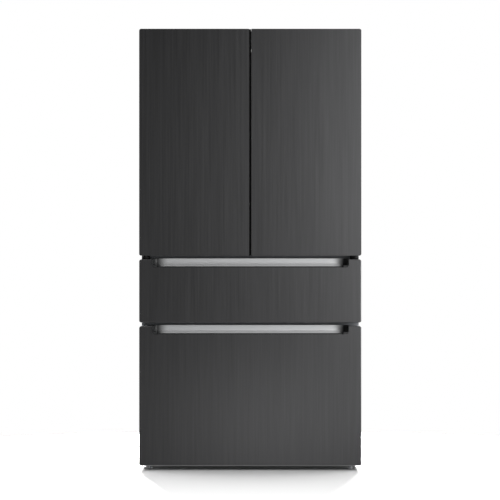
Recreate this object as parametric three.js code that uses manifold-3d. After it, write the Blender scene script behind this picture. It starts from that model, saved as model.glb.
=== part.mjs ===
// French door refrigerator: two doors over a middle drawer and a bottom freezer drawer.
// Millimetres. +Z is up, the fronts face -Y, X runs across, and the origin is under the middle of the box.
import * as THREE from 'three';
import { mergeVertices } from 'three/addons/utils/BufferGeometryUtils.js';
import Module from 'manifold-3d';

const wasm = await Module();
wasm.setup();

// Overall size
const HEIGHT = 1782;
const HALF_WIDTH = 448;
const HALF_DEPTH = 370;

// Running gap between pieces that touch
const FIT = 0.3;

// Doors and drawer fronts
const FRONT = -HALF_DEPTH;
const FRONT_THICK = 85;
const FRONT_BACK = FRONT + FRONT_THICK;
const PAN_DEPTH = 70;
const PAN_SHEET = 2;
const CORNER = 7;
const ROLLED_EDGE = 3;
const CENTRE_GAP = 9;
const ROW_GAP = 15;
const FLOOR_GAP = 20;
const FREEZER_TOP = 582.5;
const MIDDLE_BOTTOM = FREEZER_TOP + ROW_GAP;
const MIDDLE_TOP = 852;
const DOOR_BOTTOM = MIDDLE_TOP + ROW_GAP;
const INNER_WALL = 3;

// Gaskets
const SEAL = 12;
const SEAL_WIDTH = 16;
const SEAL_MARGIN = 6;

// Cabinet
const CAB_FRONT = FRONT_BACK + SEAL;
const CAB_REAR = 346;
const CAB_HALF = 441;
const CAB_TOP = 1760;
const SHEET = 2;
const RETURN_FLANGE = 18;
const BASE_TOP = 22;
const SILL_TOP = 57;

// Compartments, as the space inside each liner
const INSIDE = 386;
const LINER = 2.5;
const FRIDGE_FLOOR = 893;
const FRIDGE_CEILING = 1715;
const FRIDGE_BACK = 290;
const MIDDLE_FLOOR = 624;
const MIDDLE_CEILING = 826;
const MIDDLE_BACK = 270;
const FREEZER_FLOOR = 75;
const FREEZER_CEILING = 556;
const FREEZER_BACK = 285;
const STEP_BACK = 60;
const STEP_TOP = 300;
const LIP = 3;

// Machine compartment, behind and under the step in the freezer liner
const MACHINE_FRONT = 130;
const MACHINE_TOP = 240;

// Door hinges: pivots at the outer rear corner of each door
const PIVOT_X = 426;
const PIVOT_Y = -310;
const PIN = 5;
const PIN_CLEARANCE = 0.1;
const HINGE_ARM = 14;
const REBATE_FLOOR = 1759;

// Mullion flap on the left door, stored folded back
const FLAP_X = -28;
const FLAP_Y = -260;
const FLAP_HALF = 12.9;
const FLAP_REACH = 56;
const FLAP_BOTTOM = 905.3;
const FLAP_TOP = 1703;

// Finger grips along the top of the drawer fronts
const GRIP_HALF = 398;
const NOTCH = 32.4;
const LIP_TOP = 18;
const LIP_BOTTOM = 28;
const GRIP_RISE = 6.3;
const GRIP_FLOOR = 80;
const GRIP_WALL = 3;

// Glass shelves: height of each glass
const SHELVES = { glass_shelf_upper: 1515, glass_shelf_lower: 1320, crisper_cover: 1120 };
const SHELF_FRONT = -160;
const SHELF_BACK = 280;

// Feet and rollers
const LEG_X = 407;
const LEG_Y = -250;
const ROLLER_X = 400;
const ROLLER_Y = 300;
const ROLLER = 18;

// Plain colours for the parts
const COLOURS = {
  steel: { color: 0x55565a, roughness: 0.35, metalness: 0.9 },
  grip: { color: 0xa9abad, roughness: 0.3, metalness: 0.9 },
  paint: { color: 0x6e7073, roughness: 0.5, metalness: 0.2 },
  zinc: { color: 0x9a9c9e, roughness: 0.45, metalness: 0.7 },
  white: { color: 0xe9ecee, roughness: 0.4, metalness: 0 },
  clear: { color: 0xcfdde2, roughness: 0.1, metalness: 0 },
  grey: { color: 0x8b8e92, roughness: 0.5, metalness: 0 },
  black: { color: 0x1c1d1f, roughness: 0.6, metalness: 0 },
  foam: { color: 0xd9c98c, roughness: 0.9, metalness: 0 },
  copper: { color: 0x3a2a22, roughness: 0.4, metalness: 0.6 },
};

const refrigerator = new THREE.Group();

// A closed geometry as a solid that can be joined and cut
function solid(geometry) {
  const plain = geometry.clone();
  plain.deleteAttribute('normal');
  plain.deleteAttribute('uv');
  const merged = mergeVertices(plain, 1e-4);
  return new wasm.Manifold(new wasm.Mesh({
    numProp: 3,
    vertProperties: new Float32Array(merged.attributes.position.array),
    triVerts: new Uint32Array(merged.index.array),
  }));
}

function join(first, ...others) {
  return others.reduce((body, other) => body.add(other), first);
}

function cut(body, ...tools) {
  return tools.reduce((rest, tool) => rest.subtract(tool), body);
}

// Adds a named sub-part to the refrigerator
function piece(name, body, look) {
  const mesh = body.getMesh();
  const geometry = new THREE.BufferGeometry();
  geometry.setAttribute('position', new THREE.BufferAttribute(mesh.vertProperties, 3));
  geometry.setIndex(new THREE.BufferAttribute(mesh.triVerts, 1));
  geometry.computeVertexNormals();
  const part = new THREE.Mesh(geometry, new THREE.MeshStandardMaterial(COLOURS[look]));
  part.name = name;
  refrigerator.add(part);
}

// A box from two opposite corners, in either order
function block(x0, x1, y0, y1, z0, z1) {
  const geometry = new THREE.BoxGeometry(Math.abs(x1 - x0), Math.abs(y1 - y0), Math.abs(z1 - z0));
  return solid(geometry.translate((x0 + x1) / 2, (y0 + y1) / 2, (z0 + z1) / 2));
}

// A round bar along 'x', 'y' or 'z', centred on a point
function bar(radius, length, axis, x, y, z, sides = 24) {
  const geometry = new THREE.CylinderGeometry(radius, radius, length, sides);
  if (axis === 'x') geometry.rotateZ(Math.PI / 2);
  if (axis === 'z') geometry.rotateX(Math.PI / 2);
  return solid(geometry.translate(x, y, z));
}

// An outline in X and Z carried along Y
function alongY(shape, y0, y1, options = {}) {
  const settings = { depth: y1 - y0, bevelEnabled: false, curveSegments: 4, ...options };
  const geometry = new THREE.ExtrudeGeometry(shape, settings);
  return solid(geometry.rotateX(Math.PI / 2).translate(0, y1, 0));
}

// An outline in Y and Z carried along X
function alongX(points, x0, x1) {
  const shape = new THREE.Shape(points.map(([y, z]) => new THREE.Vector2(y, z)));
  const geometry = new THREE.ExtrudeGeometry(shape, { depth: x1 - x0, bevelEnabled: false });
  const turn = new THREE.Matrix4().makeBasis(
    new THREE.Vector3(0, 1, 0), new THREE.Vector3(0, 0, 1), new THREE.Vector3(1, 0, 0));
  return solid(geometry.applyMatrix4(turn).translate(x0, 0, 0));
}

// A rectangle with rounded corners
function roundedRectangle(x0, x1, z0, z1, radius) {
  const shape = new THREE.Shape();
  shape.absarc(x1 - radius, z1 - radius, radius, 0, Math.PI / 2);
  shape.absarc(x0 + radius, z1 - radius, radius, Math.PI / 2, Math.PI);
  shape.absarc(x0 + radius, z0 + radius, radius, Math.PI, 1.5 * Math.PI);
  shape.absarc(x1 - radius, z0 + radius, radius, 1.5 * Math.PI, 2 * Math.PI);
  shape.closePath();
  return shape;
}

// A rectangle whose two top corners are rounded, for the folded cabinet sheet
function arch(half, top, bottom, radius) {
  const shape = new THREE.Shape();
  shape.moveTo(-half, bottom);
  shape.lineTo(half, bottom);
  shape.absarc(half - radius, top - radius, radius, 0, Math.PI / 2);
  shape.absarc(radius - half, top - radius, radius, Math.PI / 2, Math.PI);
  shape.closePath();
  return shape;
}

// An open-topped box with a floor and four walls
function tub(x0, x1, y0, y1, z0, z1, wall) {
  const [low, high] = [Math.min(x0, x1), Math.max(x0, x1)];
  const inside = block(low + wall, high - wall, y0 + wall, y1 - wall, z0 + wall, z1 + 1);
  return cut(block(low, high, y0, y1, z0, z1), inside);
}

// Cabinet sheet: sides and top in one folded piece, with return flanges front and rear
const wrapperInside = alongY(arch(CAB_HALF - SHEET, CAB_TOP - SHEET, 0, 6), CAB_FRONT + SHEET, CAB_REAR - SHEET);
const mouthHalf = CAB_HALF - RETURN_FLANGE;
const mouthTop = CAB_TOP - RETURN_FLANGE;
const wrapperMouths = block(-mouthHalf, mouthHalf, CAB_FRONT - 1, CAB_REAR + 1, 0, mouthTop);
const wrapperOutside = alongY(arch(CAB_HALF, CAB_TOP, BASE_TOP + FIT, 8), CAB_FRONT, CAB_REAR);
piece('cabinet_wrapper', cut(wrapperOutside, wrapperInside, wrapperMouths), 'paint');

// Rear panel with its pressed field
piece('back_panel', cut(
  join(
    block(-438, 438, CAB_REAR + FIT, CAB_REAR + 1.8, MACHINE_TOP, CAB_TOP - 3),
    block(-380, 380, CAB_REAR + 1, CAB_REAR + 6, 330, 1680)),
  block(-378, 378, CAB_REAR, CAB_REAR + 4.5, 332, 1678),
), 'zinc');

// Base frame: pan, front sill, rear sill, nuts for the legs, ears for the roller axles
function rollerEars(side) {
  const ears = [ROLLER_X - 14, ROLLER_X + 11].map((x) => (
    block(side * x, side * (x + 3), ROLLER_Y - 14, ROLLER_Y + 14, 8, 40)));
  return join(...ears);
}
let base = join(
  block(-CAB_HALF, CAB_HALF, CAB_FRONT, CAB_REAR, FLOOR_GAP, BASE_TOP),
  block(-mouthHalf + FIT, mouthHalf - FIT, CAB_FRONT, CAB_FRONT + SHEET, FLOOR_GAP, SILL_TOP),
  block(-mouthHalf + FIT, mouthHalf - FIT, CAB_REAR - SHEET, CAB_REAR, FLOOR_GAP, 40),
);
for (const side of [-1, 1]) {
  base = join(base, bar(11, 8, 'z', side * LEG_X, LEG_Y, FLOOR_GAP - 4, 6), rollerEars(side));
  base = cut(base,
    bar(PIN + PIN_CLEARANCE, 60, 'z', side * LEG_X, LEG_Y, FLOOR_GAP),
    block(side * (ROLLER_X - 11), side * (ROLLER_X + 11), ROLLER_Y - 22, ROLLER_Y + 22, 0, 30),
    bar(4.1, 40, 'x', side * ROLLER_X, ROLLER_Y, ROLLER));
}
piece('base_frame', base, 'zinc');

// Liners: thermoformed shells, open to the front, with a flange around the mouth
function shell(low, high, back, margin) {
  return block(-INSIDE - margin, INSIDE + margin, CAB_FRONT, back + margin, low - margin, high + margin);
}
function flange(low, high) {
  return block(-mouthHalf + FIT, mouthHalf - FIT, CAB_FRONT, CAB_FRONT + SHEET, low, high);
}
function shelfRibs(side) {
  const ribs = [...Object.values(SHELVES), 1220, 1420, 1620].map((z) => (
    block(side * 378, side * (INSIDE + 1), -150, 262, z - 14 - FIT, z - FIT)));
  return join(...ribs);
}
const fridgeSpace = shell(FRIDGE_FLOOR, FRIDGE_CEILING, FRIDGE_BACK, 0);
piece('fridge_liner', join(cut(join(
  shell(FRIDGE_FLOOR, FRIDGE_CEILING, FRIDGE_BACK, LINER),
  flange(FRIDGE_FLOOR - LIP, mouthTop - FIT),
), fridgeSpace), shelfRibs(-1), shelfRibs(1)), 'white');

piece('middle_liner', cut(join(
  shell(MIDDLE_FLOOR, MIDDLE_CEILING, MIDDLE_BACK, LINER),
  flange(MIDDLE_FLOOR - LIP, MIDDLE_CEILING + LIP),
), shell(MIDDLE_FLOOR, MIDDLE_CEILING, MIDDLE_BACK, 0)), 'white');

function freezerShape(margin) {
  return join(shell(FREEZER_FLOOR, FREEZER_CEILING, STEP_BACK, margin),
    shell(STEP_TOP, FREEZER_CEILING, FREEZER_BACK, margin));
}
piece('freezer_liner', cut(
  join(freezerShape(LINER), flange(SILL_TOP + FIT, FREEZER_CEILING + LIP)), freezerShape(0)), 'white');

// Cross rails between the compartments, behind the gaskets
function crossRail(low, high, depth = 5) {
  return block(-mouthHalf + FIT, mouthHalf - FIT, CAB_FRONT, CAB_FRONT + depth, low, high);
}
const upperRail = [MIDDLE_CEILING + LIP + FIT, FRIDGE_FLOOR - LIP - FIT];
const lowerRail = [FREEZER_CEILING + LIP + FIT, MIDDLE_FLOOR - LIP - FIT];
piece('upper_crossrail', crossRail(...upperRail), 'paint');
piece('lower_crossrail', crossRail(...lowerRail), 'paint');

// Foam between the sheet and the liners
let foam = alongY(arch(CAB_HALF - SHEET - FIT, CAB_TOP - SHEET - FIT, BASE_TOP + FIT, 8),
  CAB_FRONT + SHEET + FIT, CAB_REAR - SHEET - FIT);
foam = cut(foam,
  shell(FRIDGE_FLOOR, FRIDGE_CEILING, FRIDGE_BACK, LINER + FIT),
  shell(MIDDLE_FLOOR, MIDDLE_CEILING, MIDDLE_BACK, LINER + FIT),
  freezerShape(LINER + FIT),
  crossRail(upperRail[0] - FIT, upperRail[1] + FIT, 5 + FIT),
  crossRail(lowerRail[0] - FIT, lowerRail[1] + FIT, 5 + FIT),
  block(-CAB_HALF, CAB_HALF, MACHINE_FRONT, CAB_REAR, 0, MACHINE_TOP),
  bar(14, 60, 'z', -LEG_X, LEG_Y, 45),
  bar(14, 60, 'z', LEG_X, LEG_Y, 45));
piece('insulation_foam', foam, 'foam');

// Evaporator cover at the back of the freezer, with its fan opening and return slots
const coolingFan = { x: 0, y: 236, z: 440 };
let evaporatorCover = cut(
  block(-360, 360, 215, 218, STEP_TOP + FIT, 548),
  bar(62, 20, 'y', coolingFan.x, 216, coolingFan.z));
for (const x of [-300, -220, -140, 140, 220, 300]) {
  evaporatorCover = cut(evaporatorCover, block(x - 30, x + 30, 210, 222, 316, 328));
}
piece('evaporator_cover', evaporatorCover, 'white');

// Glass shelves in a rim that stands on the liner's ribs, and the glass over the crispers
for (const [name, z] of Object.entries(SHELVES)) {
  piece(name, join(
    block(-383, 383, SHELF_FRONT, SHELF_BACK, z, z + 4),
    block(-383, 383, SHELF_FRONT - 6, SHELF_FRONT + 14, z, z + 14),
    block(-383, 383, SHELF_BACK - 12, SHELF_BACK, z, z + 18),
  ), 'clear');
}

// Machine compartment: compressor on its foot plate, condenser coil, cover, power inlet
const can = new THREE.LatheGeometry([
  [0, 32], [70, 32], [84, 48], [84, 150], [66, 186], [34, 202], [0, 205],
].map(([r, z]) => new THREE.Vector2(r, z)), 20);
const compressorCan = solid(can.rotateX(Math.PI / 2).translate(-270, 236, 0));
const feet = [[-350, 176], [-190, 176], [-350, 296], [-190, 296]].map(([x, y]) => (
  bar(11, 8, 'z', x, y, BASE_TOP + FIT + 4, 12)));
piece('compressor', join(compressorCan, block(-368, -172, 160, 312, 30, 34), ...feet), 'black');

function serpentine() {
  const points = [];
  const passes = 5;
  for (let pass = 0; pass < passes; pass += 1) {
    const ends = pass % 2 ? [350, 90] : [90, 350];
    const z = 45 + 36 * pass;
    points.push(new THREE.Vector3(ends[0], 236, z), new THREE.Vector3(ends[1], 236, z));
    if (pass < passes - 1) points.push(new THREE.Vector3(ends[1] + (pass % 2 ? -15 : 15), 236, z + 18));
  }
  return new THREE.CatmullRomCurve3(points, false, 'centripetal');
}
const tubeSection = new THREE.Shape(new THREE.EllipseCurve(0, 0, 4.5, 4.5).getPoints(6).slice(0, 6));
const tube = new THREE.ExtrudeGeometry(tubeSection, { steps: 54, bevelEnabled: false, extrudePath: serpentine() });
const tubeFeet = [130, 310].map((x) => block(x - 4, x + 4, 228, 244, BASE_TOP + FIT, 190));
piece('condenser_coil', join(solid(tube), ...tubeFeet), 'copper');

let machineCover = cut(
  block(-436, 436, CAB_REAR + FIT, HALF_DEPTH, BASE_TOP + 3, MACHINE_TOP - FIT),
  block(-433, 433, CAB_REAR, HALF_DEPTH - 3, BASE_TOP + 6, MACHINE_TOP - 3));
for (const centre of [-250, 210]) {
  for (let row = 0; row < 8; row += 1) {
    const z = 58 + 20 * row;
    machineCover = cut(machineCover, block(centre - 120, centre + 120, HALF_DEPTH - 8, HALF_DEPTH + 1, z, z + 9));
  }
}
piece('machine_cover', machineCover, 'zinc');

const inletRear = CAB_REAR + 1.8 + FIT;
piece('power_inlet', cut(
  block(396, 430, inletRear, inletRear + 14, 262, 302),
  block(402, 424, inletRear + 3, inletRear + 15, 268, 296),
), 'black');

// Fans: a hub with pitched blades, turning about the Y or the X axis
function fan(radius, hub, thick, axis, place) {
  const parts = [new THREE.CylinderGeometry(hub, hub, thick, 20).rotateX(Math.PI / 2)];
  const blades = 5;
  for (let blade = 0; blade < blades; blade += 1) {
    const paddle = new THREE.BoxGeometry(radius - hub + 6, 30, 2);
    paddle.rotateX(Math.PI / 5).translate((radius + hub - 6) / 2, 0, 0);
    parts.push(paddle.rotateZ((2 * Math.PI * blade) / blades));
  }
  const turned = parts.map((part) => (axis === 'y' ? part.rotateX(Math.PI / 2) : part.rotateY(Math.PI / 2)));
  return join(...turned.map((part) => solid(part.translate(place.x, place.y, place.z))));
}
piece('evaporator_fan', fan(56, 20, 22, 'y', coolingFan), 'black');
piece('condenser_fan', fan(70, 22, 26, 'x', { x: -20, y: 236, z: 118 }), 'black');

// Top hinge: a plate on the cabinet top, an arm over the door and a pin down into its bush
function topHinge(side) {
  const [low, high] = [CAB_TOP + FIT, CAB_TOP + 6];
  return join(
    block(side * 402, side * 432, -262, -160, low, high),
    block(side * (PIVOT_X - HINGE_ARM), side * (PIVOT_X + HINGE_ARM), PIVOT_Y, -250, low, high),
    bar(HINGE_ARM, high - low, 'z', side * PIVOT_X, PIVOT_Y, (low + high) / 2),
    bar(PIN, 26, 'z', side * PIVOT_X, PIVOT_Y, high - 13));
}
function hingeCover(side) {
  return cut(block(side * 396, side * 443, -268, -150, CAB_TOP + FIT, HEIGHT - 2),
    block(side * 399, side * 441, -269, -153, CAB_TOP, HEIGHT - 4.5));
}

// Middle hinge: a bracket on the cross rail with a pin up into the door
function middleHinge(side) {
  const plate = [856, 860];
  return join(
    block(side * 406, side * 440, CAB_FRONT - 2 - FIT, CAB_FRONT - FIT, 847, 872),
    block(side * 412, side * 440, PIVOT_Y, CAB_FRONT - FIT - 1, ...plate),
    bar(HINGE_ARM, 4, 'z', side * PIVOT_X, PIVOT_Y, 858),
    bar(9, 7, 'z', side * PIVOT_X, PIVOT_Y, 863),
    bar(PIN, 34, 'z', side * PIVOT_X, PIVOT_Y, 875));
}

// Drawer rails: channels on the liner's side walls
function rail(side, inner, web, z0, z1, back) {
  return cut(block(side * inner, side * (INSIDE - FIT), -262, back, z0, z1),
    block(side * (inner - 1), side * web, -263, back + 1, z0 + 5, z1 - 5));
}

// A door's or drawer front's steel pan: front and four sides, open behind
function pan(x0, x1, z0, z1) {
  const [low, high] = [Math.min(x0, x1), Math.max(x0, x1)];
  const edge = ROLLED_EDGE;
  const outline = roundedRectangle(low + edge, high - edge, z0 + edge, z1 - edge, CORNER - edge);
  const bevel = { bevelEnabled: true, bevelThickness: edge, bevelSize: edge, bevelSegments: 2 };
  const bottom = FRONT + PAN_DEPTH;
  const outside = cut(alongY(outline, FRONT + edge, bottom, bevel),
    block(-500, 500, bottom, bottom + 2 * edge, 0, HEIGHT + 1));
  const sheet = PAN_SHEET;
  const inside = alongY(
    roundedRectangle(low + sheet, high - sheet, z0 + sheet, z1 - sheet, CORNER - sheet),
    FRONT + sheet, bottom + 1);
  return cut(outside, inside);
}

// The plastic inner panel that closes a pan from behind
function innerPanel(x0, x1, z0, z1) {
  const [low, high] = [Math.min(x0, x1), Math.max(x0, x1)];
  const rim = FRONT + PAN_DEPTH + FIT;
  const wall = INNER_WALL;
  const outside = alongY(roundedRectangle(low, high, z0, z1, CORNER), rim, FRONT_BACK);
  return cut(outside, block(low + wall, high - wall, rim - 1, FRONT_BACK - wall, z0 + wall, z1 - wall));
}

function gasket(x0, x1, z0, z1) {
  const [low, high] = [Math.min(x0, x1), Math.max(x0, x1)];
  const [y0, y1] = [FRONT_BACK + FIT, CAB_FRONT - FIT];
  const band = SEAL_WIDTH;
  return cut(block(low, high, y0, y1, z0, z1),
    block(low + band, high - band, y0 - 1, y1 + 1, z0 + band, z1 - band));
}

// Dike moulded on a door's inner panel: the raised frame that holds the bins
const DIKE = { inner: 58, outer: 378, width: 22, bottom: 1135, top: 1706, depth: 50 };
function dike(side) {
  const { inner, outer, width, bottom, top, depth } = DIKE;
  return cut(
    block(side * inner, side * outer, FRONT_BACK - 1, FRONT_BACK + depth, bottom, top),
    block(side * (inner + width), side * (outer - width), FRONT_BACK - 2, FRONT_BACK + depth + 1,
      bottom + width, top - width));
}

// Hinge blocks in the corners of a door's inner panel, bored for the pins
function hingeBlocks(side) {
  const x = [side * 395, side * (HALF_WIDTH - CORNER)];
  const y = [FRONT + 20, FRONT_BACK - 2];
  const bore = PIN + PIN_CLEARANCE;
  const blocks = join(
    block(...x, ...y, DOOR_BOTTOM + PAN_SHEET + FIT, 905),
    block(...x, ...y, 1725, REBATE_FLOOR));
  return [blocks, bar(bore, 60, 'z', side * PIVOT_X, PIVOT_Y, 865), bar(bore, 60, 'z', side * PIVOT_X, PIVOT_Y, 1765)];
}

// Lugs on the left door that carry the mullion flap, with pins into its ends
function flapLugs() {
  const lug = (z0, z1) => join(
    block(-46, -27.5, FRONT_BACK - 1, -250, z0, z1),
    block(-28, -20, CAB_FRONT + FIT, -250, z0, z1));
  return join(
    lug(FLAP_BOTTOM - 10, FLAP_BOTTOM - FIT),
    lug(FLAP_TOP + FIT, FLAP_TOP + 10),
    bar(3, 20, 'z', FLAP_X, FLAP_Y, FLAP_BOTTOM + 2),
    bar(3, 20, 'z', FLAP_X, FLAP_Y, FLAP_TOP - 2));
}

function doorBin(side, z0, z1) {
  const inner = DIKE.inner + DIKE.width + FIT;
  const outer = DIKE.outer - DIKE.width - FIT;
  return tub(side * inner, side * outer, FRONT_BACK + FIT, -190, z0, z1, 3);
}

for (const side of [-1, 1]) {
  const hand = side < 0 ? 'left' : 'right';
  const x = [(side * CENTRE_GAP) / 2, side * HALF_WIDTH];
  const rebate = block(side * 401, side * 450, FRONT + 18, FRONT_BACK + 1, REBATE_FLOOR, HEIGHT + 1);
  const pinHole = bar(8, 10, 'z', side * PIVOT_X, PIVOT_Y, DOOR_BOTTOM);
  const [blocks, ...bores] = hingeBlocks(side);

  piece(`top_hinge_${hand}`, topHinge(side), 'zinc');
  piece(`hinge_cover_${hand}`, hingeCover(side), 'black');
  piece(`middle_hinge_${hand}`, middleHinge(side), 'zinc');
  piece(`middle_rail_${hand}`, rail(side, 373, 383, 690, 722, 255), 'zinc');
  piece(`freezer_rail_${hand}`, rail(side, 368, 376, 312, 344, 272), 'zinc');
  const slide = block(side * 366, side * (376 - FIT), -262, 190, 320, 336);
  piece(`freezer_slide_${hand}`, slide, 'zinc');

  piece(`${hand}_door_skin`, cut(pan(...x, DOOR_BOTTOM, HEIGHT), rebate, pinHole), 'steel');
  let inner = cut(join(innerPanel(...x, DOOR_BOTTOM, HEIGHT), blocks, dike(side)), rebate, ...bores);
  if (side < 0) inner = join(inner, flapLugs());
  piece(`${hand}_door_inner`, inner, 'white');
  const sealX = [x[0] + side * SEAL_MARGIN, side * (PIVOT_X - 1)];
  piece(`${hand}_door_gasket`, gasket(...sealX, DOOR_BOTTOM + SEAL_MARGIN, CAB_TOP - SEAL_MARGIN), 'grey');
  piece(`${hand}_door_bin_lower`, doorBin(side, 1175, 1290), 'clear');
  piece(`${hand}_door_bin_upper`, doorBin(side, 1420, 1535), 'clear');

  // Crisper drawer on the floor of the fridge compartment
  piece(`crisper_${hand}`, join(
    tub(side * 4, side * 376, -120, 240, FRIDGE_FLOOR + FIT, 1100, 3),
    block(side * 4, side * 376, -126, -118, 1070, 1104)), 'clear');

  // Levelling leg: threaded stud with a foot pad
  piece(`levelling_leg_${hand}`, join(
    bar(PIN, 54, 'z', side * LEG_X, LEG_Y, 31),
    bar(9, 8, 'z', side * LEG_X, LEG_Y, 4)), 'grey');

  // Rear roller on its axle
  piece(`rear_roller_${hand}`, join(
    bar(ROLLER, 18, 'x', side * ROLLER_X, ROLLER_Y, ROLLER),
    bar(4, 30, 'x', side * ROLLER_X, ROLLER_Y, ROLLER)), 'grey');
}

// Mullion flap: half-round along its pivot, flat towards the compartment
const flapBody = join(
  bar(FLAP_HALF, FLAP_TOP - FLAP_BOTTOM, 'z', FLAP_X, FLAP_Y, (FLAP_TOP + FLAP_BOTTOM) / 2),
  block(FLAP_X - FLAP_HALF, FLAP_X + FLAP_HALF, FLAP_Y, FLAP_Y + FLAP_REACH, FLAP_BOTTOM, FLAP_TOP));
piece('mullion_flap', cut(flapBody,
  bar(3.1, 30, 'z', FLAP_X, FLAP_Y, FLAP_BOTTOM),
  bar(3.1, 30, 'z', FLAP_X, FLAP_Y, FLAP_TOP)), 'grey');

// Grip channel in the top of a drawer front: rolled front lip, finger hollow, high back wall
function gripChannel(top) {
  const end = GRIP_HALF - FIT;
  const floor = top - GRIP_FLOOR;
  const wall = GRIP_WALL;
  const [lipFront, frontWall, backWall] = [FRONT + FIT, FRONT + 6, FRONT + 48];
  const crest = top + GRIP_RISE;
  const section = [
    [frontWall, floor], [backWall + wall, floor], [backWall + wall, crest - wall],
    [backWall + 12, crest - wall], [backWall + 12, crest], [backWall, crest],
    [backWall, floor + wall], [frontWall + wall, floor + wall], [frontWall + wall, top - LIP_TOP],
    [lipFront, top - LIP_TOP], [lipFront, top - LIP_BOTTOM], [frontWall, top - LIP_BOTTOM],
  ];
  const endPlate = (x) => block(x, x + wall, frontWall, backWall + wall, floor, top - 3);
  return join(alongX(section, -end, end), endPlate(-end), endPlate(end - wall));
}

// Drawer fronts
for (const [name, low, high] of [['middle', MIDDLE_BOTTOM, MIDDLE_TOP], ['freezer', FLOOR_GAP, FREEZER_TOP]]) {
  const notch = block(-GRIP_HALF, GRIP_HALF, FRONT - 1, FRONT + 48 + GRIP_WALL + FIT, high - NOTCH, high + 1);
  piece(`${name}_front_skin`, cut(pan(-HALF_WIDTH, HALF_WIDTH, low, high), notch), 'steel');
  piece(`${name}_inner_panel`, innerPanel(-HALF_WIDTH, HALF_WIDTH, low, high), 'white');
  piece(`${name}_grip`, gripChannel(high), 'grip');
  const sealX = HALF_WIDTH - SEAL_MARGIN;
  const sealBottom = low + (name === 'freezer' ? 10 : SEAL_MARGIN);
  piece(`${name}_gasket`, gasket(-sealX, sealX, sealBottom, high - SEAL_MARGIN), 'grey');
}

// Middle drawer's box, with runners moulded on its sides
piece('middle_box', join(
  tub(-352, 352, FRONT_BACK + FIT, 190, 640, 790, 3),
  block(-379, -351, -262, 190, 698, 714),
  block(351, 379, -262, 190, 698, 714)), 'clear');

// Freezer drawer's steel frame: two side bars and a rod across the back
piece('freezer_frame', join(
  block(-365.7, -352, FRONT_BACK + FIT, 190, 318, 338),
  block(352, 365.7, FRONT_BACK + FIT, 190, 318, 338),
  bar(6, 710, 'x', 0, 182, 328, 12)), 'zinc');

// Freezer basket, hung by its side ledges on the frame, and the tray that slides on its rim
piece('freezer_basket', join(
  tub(-345, 345, FRONT_BACK + 10, 50, 90, 430, 3),
  block(-362, -344, -270, 45, 338.3, 343),
  block(344, 362, -270, 45, 338.3, 343)), 'clear');
piece('freezer_tray', tub(-344.5, 344.5, -272, -90, 430.3, 520, 3), 'clear');

export default refrigerator;
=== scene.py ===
import math

import bmesh
import bpy
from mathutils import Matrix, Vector


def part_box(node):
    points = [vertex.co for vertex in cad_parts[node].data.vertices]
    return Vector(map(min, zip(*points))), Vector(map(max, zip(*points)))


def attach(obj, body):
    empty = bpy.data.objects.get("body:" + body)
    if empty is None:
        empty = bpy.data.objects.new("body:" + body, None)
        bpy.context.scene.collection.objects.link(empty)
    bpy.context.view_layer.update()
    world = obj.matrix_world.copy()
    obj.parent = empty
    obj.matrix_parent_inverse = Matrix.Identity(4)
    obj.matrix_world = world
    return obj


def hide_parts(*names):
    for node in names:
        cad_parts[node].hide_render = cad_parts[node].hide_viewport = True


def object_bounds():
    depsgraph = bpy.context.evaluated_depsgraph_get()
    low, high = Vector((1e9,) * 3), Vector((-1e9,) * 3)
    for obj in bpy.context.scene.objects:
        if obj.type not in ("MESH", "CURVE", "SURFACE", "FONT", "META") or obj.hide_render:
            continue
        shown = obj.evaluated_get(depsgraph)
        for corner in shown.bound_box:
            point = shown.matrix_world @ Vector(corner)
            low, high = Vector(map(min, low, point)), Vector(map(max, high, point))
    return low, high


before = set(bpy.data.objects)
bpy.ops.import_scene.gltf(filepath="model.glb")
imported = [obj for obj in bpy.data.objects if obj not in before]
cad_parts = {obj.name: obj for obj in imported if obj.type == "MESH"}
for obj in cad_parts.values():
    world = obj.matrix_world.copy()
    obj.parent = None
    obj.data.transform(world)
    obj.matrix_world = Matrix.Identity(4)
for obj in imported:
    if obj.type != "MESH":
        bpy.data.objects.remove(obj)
cad_low, cad_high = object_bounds()
MM = 0.001


# ---------------------------------------------------------------------------------------------
# Studio: a backdrop that the camera alone sees as plain white, a world that glows softly behind
# the refrigerator, overhead, low in front and straight below, two softboxes to the right of the
# doors and a weak one at the floor, and a round floor with lamps of its own.

def node(tree, kind, inputs=None, **settings):
    """Adds one shader node, with its settings, its input values and its incoming links."""
    made = tree.nodes.new(kind)
    for name, value in settings.items():
        setattr(made, name, value)
    for socket, value in (inputs or {}).items():
        if isinstance(value, bpy.types.NodeSocket):
            tree.links.new(value, made.inputs[socket])
        else:
            made.inputs[socket].default_value = value
    return made


def softbox(name, place, target, width, height, watts):
    """A rectangular area light aimed at a point."""
    data = bpy.data.lights.new(name, "AREA")
    data.shape = "RECTANGLE"
    data.size = width
    data.size_y = height
    data.energy = watts
    lamp = bpy.data.objects.new(name, data)
    bpy.context.scene.collection.objects.link(lamp)
    lamp.location = place
    lamp.rotation_euler = (Vector(target) - Vector(place)).to_track_quat("-Z", "Y").to_euler()
    lamp.visible_camera = False
    return lamp


camera_data = bpy.data.cameras.new("camera")
camera_data.lens = 200
camera_data.sensor_width = 36
camera = bpy.data.objects.new("camera", camera_data)
bpy.context.scene.collection.objects.link(camera)
CAMERA_DISTANCE = 11.2
CAMERA_HEIGHT = 0.8899
CAMERA_ASIDE = -0.001
camera.location = (CAMERA_ASIDE, cad_low.y - CAMERA_DISTANCE, CAMERA_HEIGHT)
camera.rotation_euler = (math.radians(90), 0, 0)
bpy.context.scene.camera = camera
bpy.context.scene.view_settings.view_transform = "Standard"

world = bpy.data.worlds.new("studio")
bpy.context.scene.world = world
world.use_nodes = True
tree = world.node_tree
tree.nodes.clear()
direction = node(tree, "ShaderNodeTexCoord").outputs["Generated"]
sides = node(tree, "ShaderNodeSeparateXYZ", {"Vector": direction})


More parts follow.
